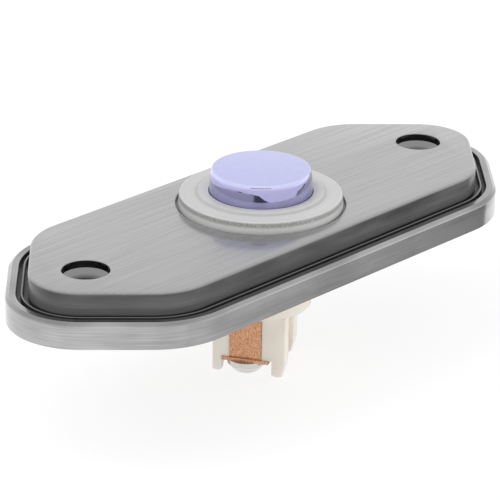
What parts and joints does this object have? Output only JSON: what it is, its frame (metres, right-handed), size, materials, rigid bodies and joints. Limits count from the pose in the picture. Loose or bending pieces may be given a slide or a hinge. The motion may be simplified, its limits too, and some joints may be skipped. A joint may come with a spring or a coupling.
{
  "type": "doorbell push button",
  "caption": "Pointed hexagonal doorbell push button: stepped pewter plate with countersunk screw holes, frosted lit ring, round plated button and a screw-terminal switch behind.",
  "frame": {"origin": "middle of the plate in the wall plane, on the button's axis and half way between the two screw holes", "axes": "+X along the plate through the two screw holes, +Y across it, +Z out of the wall towards the person who presses the button"},
  "size_m": [0.0926, 0.036, 0.0306],
  "materials": {
    "pewter": "antique pewter finish on a zinc casting, brushed along its length, dark in the grooves",
    "frosted_clear": "frosted clear acrylic",
    "plating": "mirror plating with a faint violet tint",
    "translucent": "translucent moulded plastic",
    "spring_steel": "drawn spring wire",
    "copper": "mottled rolled copper strip",
    "nylon": "natural ivory nylon, satin",
    "nickel": "bright nickel plate",
    "board": "green solder mask",
    "lamp": "moulded light chip",
    "resistor": "black chip resistor"
  },
  "bodies": {
    "base": {"face_plate": "pewter", "light_ring": "frosted_clear", "switch_housing": "nylon", "front_terminal": "copper", "rear_terminal": "copper", "terminal_screws": "nickel", "return_spring": "spring_steel", "lamp_board": "board", "lamp_chips": "lamp", "lamp_resistor": "resistor", "board_pins": "nickel"},
    "button": {"button_cap": "plating", "plunger": "translucent", "contact_bridge": "copper"}
  },
  "joints": [
    {"name": "button_press", "type": "slide", "parent": "base", "child": "button", "axis": [0, 0, -1], "range_m": [0, 0.0015], "stiffness_N_per_m": 600, "springref_m": -0.002, "deforming": ["return_spring"]}
  ]
}
